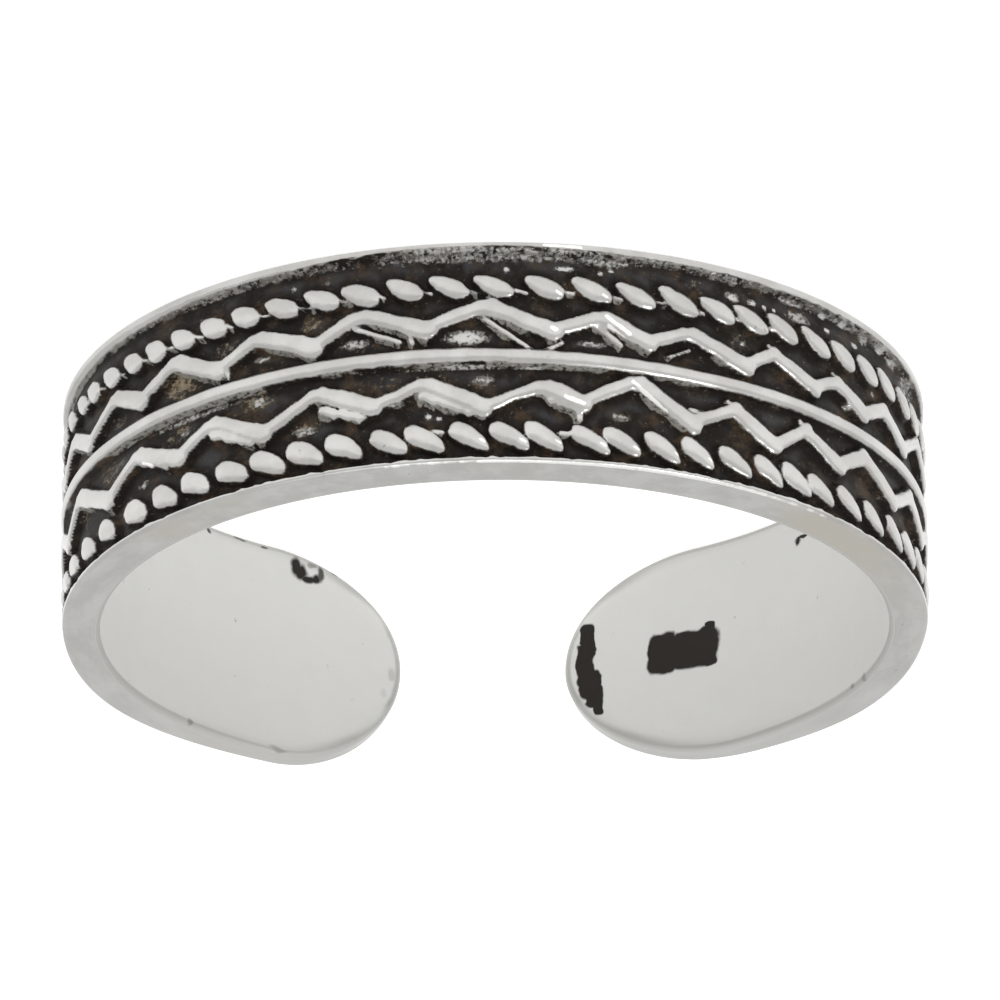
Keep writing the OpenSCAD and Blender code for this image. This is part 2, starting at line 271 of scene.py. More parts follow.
# The way along and up the wall that the light falls from: sides facing it get worn feet and painted
# light.
# How nearly a side must face it to be rubbed at all and fully
LIT_SIDE = [0.8, 0.6]
LIT_FROM = [0.2, 0.8]
# How much they are rubbed: the least share, the angles where it starts to grow and is full
LEAST_RUBBED = 0.2
RUBBED_ANGLES = [-36, -23]
# More than any depth or distance that matters
FAR = 9.0
# Patches and streaks start to fade 1 before this many half-widths and are gone there
FADE = 1.6

# Stations of the mesh: the angle where a zone ends in degrees, their spacing in mm
FRONT = [62, 0.048]
FLANK = [92, 0.075]
# How many follow on the back, between it and the rounded end, and on that end. The back's last
# one lies PAST_FIELD radians past the end of the field
BACK_STATIONS = 52
BETWEEN_STATIONS = 7
END_STATIONS = 30
PAST_FIELD = 0.012
# Corners of the rib's middle line, and of the outline of an end
RIB_CORNERS = 121
OUTLINE_CORNERS = 61
# Rows of the outer wall: heights on the low rim, distances from the high edge on the high rim
LOW_RIM_ROWS = [0, 0.012, 0.03, 0.05, 0.075, 0.12]
HIGH_RIM_ROWS = [0.055, 0.035, 0.015, 0]
# Spacing of the rows in the field, heights of the rows on the bore's edge, how many lie between
ROW_STEP = 0.0425
BORE_EDGE = [0, 0.02, 0.05, 0.095]
BORE_ROWS = 12
# Shares of the way across a rim's flat face where its rows lie
FACE_SHARES = np.array([0.05, 0.35, 0.65, 0.95])
# How far the rims take on the bore's brightness at the ends, and the angles where that starts
# and is full
BRIGHT_RIM = 0.6
BRIGHT_RIM_ANGLES = [math.radians(100), math.radians(145)]
# Darker band on the bore along its rounded edge: its middle as a share of the edge's rounding,
# its reach into the bore and towards the edge
CREASE_AT = 0.7
CREASE_IN = 0.09
CREASE_OUT = 0.2

# Colours
SILVER = (0.548, 0.543, 0.526, 1)
CLOUDED_SILVER = (0.465, 0.458, 0.44, 1)
WARM_SILVER = (0.49, 0.465, 0.41, 1)
BORE_SILVER = (0.655, 0.652, 0.637, 1)
DARKER_BAND_SILVER = (0.4, 0.395, 0.37, 1)
PITTED_SILVER = (0.2, 0.19, 0.17, 1)
# Nearly white colour of the painted highlights
HIGHLIGHT_PAINT_SILVER = (0.93, 0.92, 0.89, 1)
DEEP_OXIDE = (0.011, 0.0085, 0.0068, 1)
GREY_OXIDE = (0.045, 0.0435, 0.044, 1)
BROWN_OXIDE = (0.06, 0.04, 0.025, 1)
WORN_OXIDE = (0.27, 0.26, 0.235, 1)
THIN_OXIDE = (0.22, 0.21, 0.19, 1)
GOLDEN_DUST = (0.27, 0.22, 0.15, 1)
TARNISH = (0.023, 0.02, 0.017, 1)
WHITE = (1, 1, 1, 1)

# Surroundings, in m. Columns of the lights: name, place, diameter, power in W
FLOOR_REACH = 1.5
FLOOR_Z = -0.00002
FLOOR_GREYS = [(0.58, 0.58, 0.58, 1), (0.62, 0.62, 0.62, 1)]
FLOOR_GLOW = 0.7
SKY_STRENGTH = 0.88
LIGHTS = [
    ["side", (-0.28, -0.245, 0.33), 0.14, 0.42],
    ["top", (0.1, -0.1, 0.5), 0.4, 0.25]]
# Camera: place in mm, the picture's right and down, sensor's width and focal length in mm
CAMERA_PLACE = (6.521, -202.314, 86.191)
CAMERA_RIGHT = (-0.99953, -0.02945, 0.00813)
CAMERA_DOWN = (-0.00384, 0.38529, 0.92279)
SENSOR_W = 36
FOCAL_LENGTH = 399.923
CLIP = [0.01, 10]


# Shape of the pattern

def along(table, angles, column=1):
    """Values of one column of a table that starts with the angle, at some angles in degrees."""
    rows = np.array(sorted(table))
    return np.interp(angles, rows[:, 0], rows[:, column])


def flat(a, z):
    """Place on the flattened wall of an angle in degrees and a height."""
    return [math.radians(a) * FIELD_R, z]


def zigzag_path(chart, back):
    """Corners as [angle, z]: the charted front with a regular back on both sides."""
    step = ZIGZAG_PITCH / 2
    first, last = chart[0][0], chart[-1][0]
    before = int((RELIEF_HALF - first) // step)
    after = int((RELIEF_HALF + last) // step)
    corners = [[first + k * step, back[k % 2]] for k in range(before, 0, -1)]
    corners += chart + [[last - k * step, back[1 - k % 2]] for k in range(1, after + 1)]
    return [[a, share * BAND_W] for a, share in corners]


def rope_places(chart):
    """Angles of a rope's beads: the charted front with regular ones on both sides."""
    limit = RELIEF_HALF - math.degrees(LAST_BEAD / FIELD_R)
    before = np.arange(chart[0] + BEAD_PITCH, limit, BEAD_PITCH)[::-1]
    after = np.arange(chart[-1] - BEAD_PITCH, -limit, -BEAD_PITCH)
    return [*before, *chart, *after]


def rope_height(line, a):
    """Height of a rope's middle line at an angle, from its shares of the width at 90 and -90."""
    return along([[90, line[0]], [-90, line[1]]], a) * BAND_W


def run_depth(u, z, runs, blend=0):
    """Depth of each point inside a set of straight runs, negative outside them. A run has two
    ends, each with its u, z and half-width. blend rounds the corners between runs."""
    best = np.full(u.shape, -FAR)
    for (u0, z0, half0), (u1, z1, half1) in runs:
        du, dz = u1 - u0, z1 - z0
        share = np.clip(((u - u0) * du + (z - z0) * dz) / (du * du + dz * dz), 0, 1)
        away = np.hypot(u - u0 - share * du, z - z0 - share * dz)
        depth = half0 + (half1 - half0) * share - away
        both = np.clip(1 - np.abs(best - depth) / blend, 0, 1) if blend else 0
        best = np.maximum(best, depth) + blend * both ** 2 / 4
    return best


def line_distance(u, z, ends):
    """Distance from each point to a chain of straight runs between [u, z] ends."""
    return -run_depth(u, z, [((*a, 0), (*b, 0)) for a, b in zip(ends[:-1], ends[1:])])


def grain_place(angle):
    """Place along the wall for grain and unevenness in mm, which brushing along the band has
    drawn out at its sides."""
    turned = np.arccos(SIDE_GRAIN)
    size = np.abs(angle)
    place = np.where(size < turned, np.sin(size), np.sin(turned) + SIDE_GRAIN * (size - turned))
    return FIELD_R * np.sign(angle) * place


def inside_distance(u, z, outline):
    """Distance to a closed outline, negative outside it."""
    closed = np.vstack([outline, outline[:1]])
    best = line_distance(u, z, closed)
    inside = np.zeros(u.shape, bool)
    for (u0, z0), (u1, z1) in zip(closed[:-1], closed[1:]):
        crossing = (z0 > z) != (z1 > z)
        with np.errstate(divide="ignore", invalid="ignore"):
            inside ^= crossing & (u < (u1 - u0) * (z - z0) / (z1 - z0) + u0)
    return np.where(inside, best, -best)


def wobble(u, z, uneven, seed):
    """Smooth seeded unevenness. uneven holds about how far it goes and the size of its bumps."""
    amount, size = uneven
    rng = np.random.default_rng(seed)
    total = np.zeros(u.shape)
    for _ in range(WAVES):
        way, phase = rng.uniform(0, 2 * math.pi, 2)
        pitch = size * rng.uniform(*WAVE_LENGTHS)
        total += np.sin((u * math.cos(way) + z * math.sin(way)) * 2 * math.pi / pitch + phase)
    return amount * (total / (WAVES / 2))


def facing(field, u, z):
    """How far the falling side of a field faces the lit side, -1 to 1."""
    slope_u = np.gradient(field, axis=0) / np.minimum(np.gradient(u, axis=0), -1e-6)
    slope_z = np.gradient(field, axis=1) / np.maximum(np.gradient(z, axis=1), 1e-6)
    towards = -slope_u * LIT_SIDE[0] - slope_z * LIT_SIDE[1]
    return towards / (np.hypot(slope_u, slope_z) + 1e-6)


def soft_step(value, start, end):
    """Smooth step from 0 at start to 1 at end."""
    share = np.clip((value - start) / (end - start), 0, 1)
    return share * share * (3 - 2 * share)


def domed(depth, half, height):
    """Height of a raised form with steep sides and a round top, at a depth inside its outline."""
    rise = np.clip(depth / SLOPE, 0, 1)
    crown = 1 - np.clip(depth / half, 0, 1)
    return height * (WALL_SHARE * (1 - (1 - rise) ** 2) + CROWN_SHARE * (1 - crown ** 2))


def stroke(relief, edge, depth, half, height, foot=0):
    """Adds one raised line to the relief and to the depth of the polished tops. foot is how far
    a worn side wall runs out below the round top."""
    shape = domed(depth + SLOPE, half + SLOPE, height)
    low_wall = FOOT_SHARE * height * np.clip(1 + depth / (foot + LEAST_FOOT), 0, 1)
    return np.maximum(relief, np.maximum(shape, low_wall)), np.maximum(edge, depth)


def zigzag_runs(corners, rng):
    """Straight runs between corners of [angle, z]. Those that rise towards -X are wider, and
    some runs cross a little past their corner."""
    runs = []
    for corner, after_corner in zip(corners[:-1], corners[1:]):
        ends = np.array([flat(*corner), flat(*after_corner)])
        way = (ends[1] - ends[0]) / np.linalg.norm(ends[1] - ends[0])
        before, after = rng.uniform(0, PAST_CORNER, 2)
        rises = after_corner[1] > corner[1]
        if rises:
            before = -ROUND_CORNER
        elif after_corner[0] < SHARP_FROM:
            after += PAST_SHARP
        else:
            after = -ROUND_CORNER
        half0, half1 = RISING_HALVES if rises else FALLING_HALVES
        first, last = ends[0] - way * before, ends[1] + way * after
        if rises and runs:
            runs.append((runs[-1][1], (*first, half0)))
        runs.append(((*first, half0), (*last, half1)))
    return runs


def rubbed_walls(u):
    """How much the side walls facing the light are worn into feet and lightened with painted light:
    less towards the -X side.
    """
    grown = soft_step(np.degrees(u / FIELD_R), *RUBBED_ANGLES)
    return LEAST_RUBBED + (1 - LEAST_RUBBED) * grown


def add_zigzags(relief, edge, u, z, grain_u):
    for chart, back, seed in ((LOW_ZIGZAG, LOW_BACK, 3), (HIGH_ZIGZAG, HIGH_BACK, 4)):
        runs = zigzag_runs(zigzag_path(chart, back), np.random.default_rng(seed))
        bent_u = u + wobble(grain_u, z, BEND_ALONG, seed)
        bent_z = z + wobble(grain_u, z, BEND_UP, seed + 10)
        depth = run_depth(bent_u, bent_z, runs, CORNER_BLEND)
        depth += wobble(grain_u, z, RUN_EDGE, seed + 30)
        depth += wobble(grain_u, z * TALL_WIDTH, RUN_WIDTH, seed + 20)
        worn = soft_step(facing(depth, u, z), *LIT_FROM) * rubbed_walls(u)
        foot = worn * (FOOT_REACH + wobble(grain_u, z, FOOT_EDGE, seed + 40)).clip(0)
        relief, edge = stroke(relief, edge, depth, ZIGZAG_CROWN, RELIEF_H, foot)
    return relief, edge


def add_rib(relief, edge, u, z, grain_u):
    angles = np.linspace(-RELIEF_HALF, RELIEF_HALF, RIB_CORNERS)
    ends = np.stack([np.radians(angles) * FIELD_R, along(RIB, angles) * BAND_W], 1)
    depth = RIB_W / 2 - line_distance(u, z, ends) + wobble(grain_u, z, RIB_EDGE, 5)
    return stroke(relief, edge, depth, RIB_W / 2, RELIEF_H)


def add_spurs(relief, edge, u, z, grain_u):
    uneven = wobble(grain_u, z, SPUR_EDGE, 6)
    ragged = wobble(grain_u, z * TALL_BANK, BANK_EDGE, 7)
    rows = [(row, SPUR_H, uneven) for row in SPURS + tails()]
    rows += [(row, BANK_H, ragged) for row in BANKS]
    for (a0, z0, a1, z1, width), share, change in rows:
        depth = width / 2 - line_distance(u, z, [flat(a0, z0), flat(a1, z1)]) + change
        relief, edge = stroke(relief, edge, depth, SPUR_CROWN, RELIEF_H * share)
    return relief, edge


def rounded(outline):
    """A closed outline with its corners cut off once."""
    after = np.roll(outline, -1, 0)
    cut = [outline * 0.75 + after * 0.25, outline * 0.25 + after * 0.75]
    return np.stack(cut, 1).reshape(-1, 2)


def add_beads(relief, edge, u, z, grain_u):
    rng = np.random.default_rng(11)
    for chart, line, beads, outline in (
            (LOW_ROPE, LOW_ROPE_LINE, LOW_BEADS, LOW_OUTLINE),
            (HIGH_ROPE, HIGH_ROPE_LINE, HIGH_BEADS, HIGH_OUTLINE)):
        for a in rope_places(chart):
            length = along(beads, a) * rng.uniform(*BEAD_LENGTHS)
            width = along(beads, a, 3) * rng.uniform(*BEAD_WIDTHS)
            slant = math.radians(along(beads, a, 2) + rng.uniform(-BEAD_TURN, BEAD_TURN))
            height = rope_height(line, a) + rng.uniform(-BEAD_SHIFT, BEAD_SHIFT)
            points = rounded(np.array(outline) + rng.normal(0, BEAD_RAGGED, (len(outline), 2)))
            middle = flat(a, height)[0]
            near = np.abs(u - middle) < BEAD_REACH
            du, dz = u[near] - middle, z[near] - height
            # The bead's own axes: along it, away from +u and up, and across it
            x = -du * math.cos(slant) + dz * math.sin(slant)
            y = du * math.sin(slant) + dz * math.cos(slant)
            depth = inside_distance(x, y, points * [length, width])
            depth += wobble(grain_u[near], dz, BEAD_EDGE, 9)
            shape = domed(depth + SLOPE, width / 2 + SLOPE, RELIEF_H)
            relief[near] = np.maximum(relief[near], shape)
            edge[near] = np.maximum(edge[near], depth)
    return relief, edge


def tails():
    """Thin threads of metal that run from the beads of the lower rope to the next bead."""
    rng = np.random.default_rng(5)
    rows = []
    for a, after in zip(LOW_ROPE[:-TAILLESS], LOW_ROPE[1:]):
        start = a - math.degrees(TAIL_START[0] / FIELD_R)
        z0 = rope_height(LOW_ROPE_LINE, a) + TAIL_START[1]
        z1 = z0 + rng.uniform(*TAIL_RISE)
        stop = start - (start - after) * rng.uniform(*TAIL_SHARE)
        rows.append([start, z0, stop, z1, rng.uniform(*TAIL_WIDTH)])
    return rows


def painted_bead_highlights():
    """Painted highlights: short white streaks near the high ends of the beads at the front, where
    reflections of the light fall.
    """
    rows = []
    a0, z0, a1, z1, half, strength = BEAD_HIGHLIGHT
    for chart, line, (last, first) in (
            (LOW_ROPE, LOW_ROPE_LINE, LOW_BEAD_HIGHLIGHTS), (HIGH_ROPE, HIGH_ROPE_LINE, HIGH_BEAD_HIGHLIGHTS)):
        for a in chart:
            if last < a < first:
                height = rope_height(line, a)
                rows.append([a + a0, height + z0, a + a1, height + z1, half, strength])
    return rows


def pattern(angle, z):
    """Height above the field's floor, depth inside the polished tops, the way that the sides of
    the raised lines face, and the strengths of the patches and of the painted highlights."""
    u = angle * FIELD_R
    grain_u = grain_place(angle)
    # The rims: the part of the wall that isn't sunk
    rim = np.maximum(LOW_RIM - z, z - (BAND_W - HIGH_RIM))
    rim = np.maximum(rim, (np.abs(angle) - FIELD_HALF) * RIM_R)
    uneven = wobble(grain_u, z, RIM_WAVE, 1) + wobble(grain_u, z, RIM_EDGE, 2)
    uneven *= np.where(z > BAND_W / 2, HIGH_RIM_UNEVEN, LOW_RIM_UNEVEN)
    rim = rim + uneven * (rim < UNEVEN_REACH)
    relief = np.clip(1 + rim / np.where(z < BAND_W / 2, LOW_RIM_SLOPE, SLOPE), 0, 1) * FIELD_DEPTH
    # Tarnish left on the low rim
    edge = rim - np.where(z < BAND_W / 2, along(DULL_RIM, np.degrees(angle)), 0)
    for add in (add_zigzags, add_rib, add_spurs):
        relief, edge = add(relief, edge, u, z, grain_u)
    # How far each side faces the light: the lighter worn feet on those sides are partly painted
    # light
    lit = facing(edge, u, z) * rubbed_walls(u)
    relief, with_beads = add_beads(relief, edge.copy(), u, z, grain_u)
    lit = np.where(with_beads > edge, 0, lit)
    # The streak map holds painted highlights, white streaks where reflections of the light fall
    patches = [patch(FLECKS, u, z), streak(PAINTED_HIGHLIGHTS + painted_bead_highlights(), u, z), patch(DUST, u, z)]
    return relief, with_beads, lit, patches


def patch(table, u, z):
    """Strength of a table's round patches, which fade out at their limits."""
    total = np.zeros(u.shape)
    for a, height, half_u, half_z, strength in table:
        away = np.hypot((u - flat(a, height)[0]) / half_u, (z - height) / half_z)
        total = np.maximum(total, strength * np.clip(FADE - away, 0, 1))
    return total


def streak(table, u, z):
    """Strength of a table's thin streaks, which fade out at their limits."""
    total = np.zeros(u.shape)
    for a0, z0, a1, z1, half, strength in table:
        away = line_distance(u, z, [flat(a0, z0), flat(a1, z1)]) / half
        total = np.maximum(total, strength * np.clip(FADE - away, 0, 1))
    return total


# The band's mesh

def direction(angle):
    """Level unit vector at an angle, 0 towards the front."""
    return np.stack([np.sin(angle), -np.cos(angle)], -1)


def outer_angle(points):
    """Angle about the outer wall's axis."""
    return np.arctan2(points[..., 0], -(points[..., 1] - OFFSET_Y))


def end_stations():
    """Stations of the rounded end, which is cut square to the wall at the tip: angle on the
    outer wall, angle on the bore and distance from the tip along the bore."""
    turn = END_ANGLE * (1 - np.cos(np.linspace(math.pi / 2, 0, END_STATIONS)))
    out = direction(math.pi - TIP)
    side = np.array([out[1], -out[0]])
    start = BORE_R * np.sin(turn)[:, None] * side - [0, OFFSET_Y]
    along_out = start @ out
    reach = -along_out + np.sqrt(along_out ** 2 - (start ** 2).sum(1) + RIM_R ** 2)
    outer = outer_angle(start + reach[:, None] * out + [0, OFFSET_Y])
    return outer, math.pi - TIP - turn, BORE_R * turn


def stations():
    """One half's stations from the front to the tip, with the same three values as its end."""
    front = np.arange(0, math.radians(FRONT[0]), FRONT[1] / RIM_R)
    flank = np.arange(front[-1], math.radians(FLANK[0]), FLANK[1] / RIM_R)[1:]
    back = np.linspace(flank[-1], FIELD_HALF + PAST_FIELD, BACK_STATIONS)[1:]
    outer = np.concatenate([front, flank, back])
    # The bore on the line from the outer wall's axis
    inner_r = OFFSET_Y * np.cos(outer) + np.sqrt(BORE_R ** 2 - (OFFSET_Y * np.sin(outer)) ** 2)
    point = direction(outer) * inner_r[:, None] + [0, OFFSET_Y]
    bore = np.arctan2(point[:, 0], -point[:, 1])
    end_outer, end_bore, end_from_tip = end_stations()
    steps = np.linspace(0, 1, BETWEEN_STATIONS + 2)[1:-1]
    outer = np.concatenate([outer, outer[-1] + (end_outer[0] - outer[-1]) * steps])
    bore = np.concatenate([bore, bore[-1] + (end_bore[0] - bore[-1]) * steps])
    from_tip = BORE_R * (math.pi - TIP - bore)
    return [np.concatenate(pair) for pair in
            ((outer, end_outer), (bore, end_bore), (from_tip, end_from_tip))]


def outer_rows():
    """Heights of the outer wall's rows where the band has its full width."""
    low_slope = np.linspace(LOW_RIM - 0.015, LOW_RIM + LOW_RIM_SLOPE + 0.01, 5)
    high_slope = np.linspace(BAND_W - HIGH_RIM - SLOPE - 0.01, BAND_W - HIGH_RIM + 0.01, 4)
    count = int(round((high_slope[0] - low_slope[-1]) / ROW_STEP))
    field = np.linspace(low_slope[-1], high_slope[0], count + 1)[1:-1]
    high_rim = [BAND_W - x for x in HIGH_RIM_ROWS]
    return np.concatenate([LOW_RIM_ROWS, low_slope, field, high_slope, high_rim])


def end_heights(rows, from_tip, high_len):
    """Heights of a full section's rows where the band narrows to its tip."""
    middle = BAND_W / 2
    length = np.where(rows > middle, high_len, END_LEN)
    short = np.clip(1 - from_tip / length, 0, 1)
    return middle + (rows - middle) * np.sqrt(1 - short ** 2)


def edge_distance(from_tip, z, high_len):
    """Distance to the band's outline, flattened along the bore."""
    a = np.linspace(-math.pi / 2, math.pi / 2, OUTLINE_CORNERS)
    length = np.where(a > 0, high_len, END_LEN)
    outline = np.stack([length * (1 - np.cos(a)), BAND_W / 2 * (1 + np.sin(a))], 1)
    rounded_end = line_distance(from_tip, z, outline)
    straight = np.minimum(z, BAND_W - z)
    length = np.where(z > BAND_W / 2, high_len, END_LEN)
    return np.where(from_tip < length, rounded_end, np.minimum(straight, rounded_end))


def rounding(distance, radius):
    """How far a rounded edge falls back at a distance from the outline."""
    gone = 1 - np.clip(distance / radius, 0, 1)
    return radius * (1 - np.sqrt(1 - gone ** 2))


def shoulder(angle):
    """Extra thickness of the wall."""
    start, peak, end = SHOULDER_ANGLES
    size = np.degrees(np.abs(angle))
    return SHOULDER * (soft_step(size, start, peak) - soft_step(size, peak, end))


def wall(angles, centre_y, radius, z):
    """Points of an upright wall about an axis at y = centre_y."""
    level = direction(angles) * radius[..., None] + [0, centre_y]
    return np.concatenate([level, z[..., None]], -1)


def away_from_outline(angle, from_tip, z):
    """Distance to the outline, whose -X end is cut longer on its high side."""
    from_tip = np.broadcast_to(from_tip, z.shape)
    longer, regular = (edge_distance(from_tip, z, length) for length in (LONG_CUT, END_LEN))
    return np.where(angle < 0, longer, regular)


def outer_part(outer, from_tip, high_len):
    """Points of the outer wall, the pattern's values there and the flattened places."""
    z = end_heights(outer_rows(), from_tip, high_len)
    angle = np.broadcast_to(outer, z.shape)
    relief, edge, lit, patches = pattern(angle, z)
    away = away_from_outline(outer, from_tip, z)
    radius = FIELD_R + relief + shoulder(angle) - rounding(away, RIM_ROUND)
    looks = dict(zip(("edge", "fleck", "painted_highlight", "dust", "lit"), (edge, *patches, lit)))
    return wall(angle, OFFSET_Y, radius, z), looks, stacked(grain_place(outer), z, relief)


def bore_part(outer, bore, from_tip, high_len):
    """Points of the bore's wall, how deep each lies in the darker band near the edge, and their
    places.
    """
    middle = np.linspace(END_BORE_ROUND, BAND_W - END_BORE_ROUND, BORE_ROWS)
    high_edge = [BAND_W - x for x in BORE_EDGE[::-1]]
    z = end_heights(np.concatenate([BORE_EDGE, middle, high_edge])[::-1], from_tip, high_len)
    angle = np.broadcast_to(bore, z.shape)
    away = away_from_outline(outer, from_tip, z)
    at_end = soft_step(np.abs(outer), *END_BORE_ANGLES)
    bore_round = BORE_ROUND + (END_BORE_ROUND - BORE_ROUND) * at_end
    past = away - CREASE_AT * bore_round
    crease = np.clip(1 - np.where(past > 0, past / CREASE_IN, -past / CREASE_OUT), 0, 1)
    points = wall(angle, 0, BORE_R + rounding(away, bore_round), z)
    return points, crease, stacked(angle * BORE_R, z, 0)


def band_grid():
    """Points of every station's closed section, the values that the material reads and the
    flattened places: along the wall, up it and, on the rims, across it, and out of the field."""
    outer, bore, from_tip = [np.concatenate([part[:0:-1], part * sign])[:, None]
                             for part, sign in zip(stations(), (-1, -1, 1))]
    high_len = np.where(outer < 0, LONG_CUT, END_LEN)
    outside, looks, outer_places = outer_part(outer, from_tip, high_len)
    inside, crease, bore_places = bore_part(outer, bore, from_tip, high_len)
    shares = FACE_SHARES[:, None]
    high_face = outside[:, -1:] * (1 - shares) + inside[:, :1] * shares
    low_face = inside[:, -1:] * (1 - shares) + outside[:, :1] * shares
    parts = outside, high_face, inside, low_face

    def around(on_wall, on_rims, on_bore):
        values = on_wall, on_rims, on_bore, on_rims
        return np.concatenate([np.broadcast_to(value, part.shape[:2])
                               for value, part in zip(values, parts)], 1)

    values = {key: around(value, 0, 0) for key, value in looks.items()}
    values["edge"] = around(looks["edge"], 0.5, 0.5)
    bright = BRIGHT_RIM * soft_step(np.abs(outer), *BRIGHT_RIM_ANGLES)
    values.update(inner=around(0, bright, 1), crease=around(0, 0, crease), rim=around(0, 1, 0))
    across = (1 - FACE_SHARES) * (RIM_R - BORE_R)
    places = [outer_places, stacked(grain_place(outer), BAND_W + across[::-1], FIELD_DEPTH),
              bore_places, stacked(grain_place(outer), -across, FIELD_DEPTH)]
    return np.concatenate(parts, 1), values, np.concatenate(places, 1)


def stacked(x, y, z):
    """Points from their three coordinates."""
    return np.stack(np.broadcast_arrays(x, y, z), -1)


def joined_ends(flat_points, index):
    """For each point its own number, but one number for those of the end sections that fall
    together."""
    same = np.arange(len(flat_points))
    seen = {}
    for i in np.concatenate([index[0], index[-1]]):
        same[i] = seen.setdefault(tuple(np.round(flat_points[i], 5)), i)
    return same


def closed_mesh(name, points, values, places):
    """A closed tube of sections whose two end sections shrink to a line."""
    flat_points = points.reshape(-1, 3)
    index = np.arange(len(flat_points)).reshape(points.shape[:2])
    ahead = np.roll(index, -1, 1)
    quads = np.stack([index[:-1], ahead[:-1], ahead[1:], index[1:]], -1).reshape(-1, 4)
    quads = joined_ends(flat_points, index)[quads]
    used, numbers = np.unique(quads, return_inverse=True)
    faces = [list(dict.fromkeys(quad)) for quad in numbers.reshape(-1, 4).tolist()]
    mesh = bpy.data.meshes.new(name)
    mesh.from_pydata((flat_points[used] * MM).tolist(), [], [f for f in faces if len(f) > 2])
    for key, value in values.items():
        layer = mesh.attributes.new(key, "FLOAT", "POINT")
        layer.data.foreach_set("value", value.reshape(-1)[used].astype(np.float32))
    layer = mesh.attributes.new("place", "FLOAT_VECTOR", "POINT")
    layer.data.foreach_set("vector", places.reshape(-1, 3)[used].astype(np.float32).ravel())
    mesh.update()
    mesh.polygons.foreach_set("use_smooth", np.ones(len(mesh.polygons), bool))
    return mesh


def add_piece(name, mesh, material):
    piece = bpy.data.objects.new(name, mesh)
    bpy.context.scene.collection.objects.link(piece)
    mesh.materials.append(material)
    return piece


# Materials

class Nodes:
    """Short calls for building a node tree."""

    def __init__(self, name):
        self.material = bpy.data.materials.new(name)
        self.material.use_nodes = True
        self.tree = self.material.node_tree
        self.shader = self.tree.nodes["Principled BSDF"]

    def add(self, kind, inputs=(), **settings):
        node = self.tree.nodes.new(kind)
        for key, value in settings.items():
            setattr(node, key, value)
        for key, value in dict(inputs).items():
            self.put(node.inputs[key], value)
        return node

    def put(self, socket, value):
        if isinstance(value, bpy.types.NodeSocket):
            self.tree.links.new(value, socket)
        else:
            socket.default_value = value

    def value(self, name):
        return self.add("ShaderNodeAttribute", attribute_name=name).outputs["Fac"]

    def vector(self, name):
        return self.add("ShaderNodeAttribute", attribute_name=name).outputs["Vector"]

    def math(self, operation, a, b=0.0, c=0.0):
        node = self.add("ShaderNodeMath", {0: a, 1: b, 2: c}, operation=operation)
        return node.outputs[0]

    def vector_math(self, operation, a, b=(0, 0, 0)):
        outputs = self.add("ShaderNodeVectorMath", {0: a, 1: b}, operation=operation).outputs
        return outputs["Value" if operation in ("DOT_PRODUCT", "LENGTH") else "Vector"]

    def ramp(self, value, start, end):
        """Smooth step from 0 at start to 1 at end."""
        node = self.add("ShaderNodeMapRange", {"Value": value, "From Min": start, "From Max": end},
                        interpolation_type="SMOOTHSTEP")
        return node.outputs["Result"]

    def noise(self, vector, scale, detail=3.0, rough=0.55, output="Fac"):
        inputs = {"Vector": vector, "Scale": scale, "Detail": detail, "Roughness": rough}
        return self.add("ShaderNodeTexNoise", inputs).outputs[output]

    def mix_value(self, share, a, b):
        node = self.add("ShaderNodeMix", data_type="FLOAT")
        for key, value in ((0, share), (2, a), (3, b)):
            self.put(node.inputs[key], value)
        return node.outputs[0]

    def mix_colour(self, share, a, b):
        node = self.add("ShaderNodeMix", data_type="RGBA")
        for key, value in ((0, share), (6, a), (7, b)):
            self.put(node.inputs[key], value)
        return node.outputs[2]


def polished_share(n, place):
    """1 where the raised forms and bright grains are rubbed free of tarnish."""
    uneven = n.math("MULTIPLY_ADD", n.noise(place, 9.0, 3), 0.04, -0.02)
    level = n.math("ADD", n.value("edge"), uneven)
    fleck = n.math("ADD", n.math("MULTIPLY", n.value("fleck"), 0.4), n.noise(place, 13.0, 3, 0.6))
    fleck = n.math("ADD", fleck, n.math("MULTIPLY_ADD", n.noise(place, 2.2, 2), 0.36, -0.18))
    rubbed = n.math("MULTIPLY_ADD", n.value("fleck"), 0.9, 0.2)
    return n.math("MAXIMUM", n.ramp(level, -0.018, 0.016),
                  n.math("MULTIPLY", n.ramp(fleck, 0.66, 0.8), rubbed))


def worn_share(n, place):
    """1 on the ragged foot of a raised form, where the tarnish is rubbed thin, reaching further out
    on sides that face the light: partly wear, partly painted light.
    """
    patches = n.ramp(n.noise(place, 1.0, 2), 0.38, 0.54)
    # Painted light: the lighter worn zone reaches further out on sides that face the light
    side = n.math("MULTIPLY", n.ramp(n.value("lit"), 0.1, 0.8), patches)
    reach = n.math("MULTIPLY_ADD", side, 0.1, -0.02)
    ragged = n.math("MULTIPLY_ADD", n.noise(place, 7.0, 4, 0.65), 0.1, -0.05)
    level = n.math("ADD", n.math("ADD", n.value("edge"), reach), ragged)
    broken = n.ramp(n.noise(place, 11.0, 3, 0.6), 0.3, 0.55)
    return n.math("MULTIPLY", n.ramp(level, -0.01, 0.02), broken)


def thin_share(n, place):
    """Up to 0.7 between the bright grains, where the tarnish is thin."""
    level = n.math("MULTIPLY_ADD", n.value("fleck"), 0.3, n.noise(place, 7.0, 3, 0.6))
    near = n.ramp(n.value("fleck"), 0.05, 0.4)
    return n.math("MULTIPLY", n.math("MULTIPLY", n.ramp(level, 0.54, 0.76), near), 0.7)


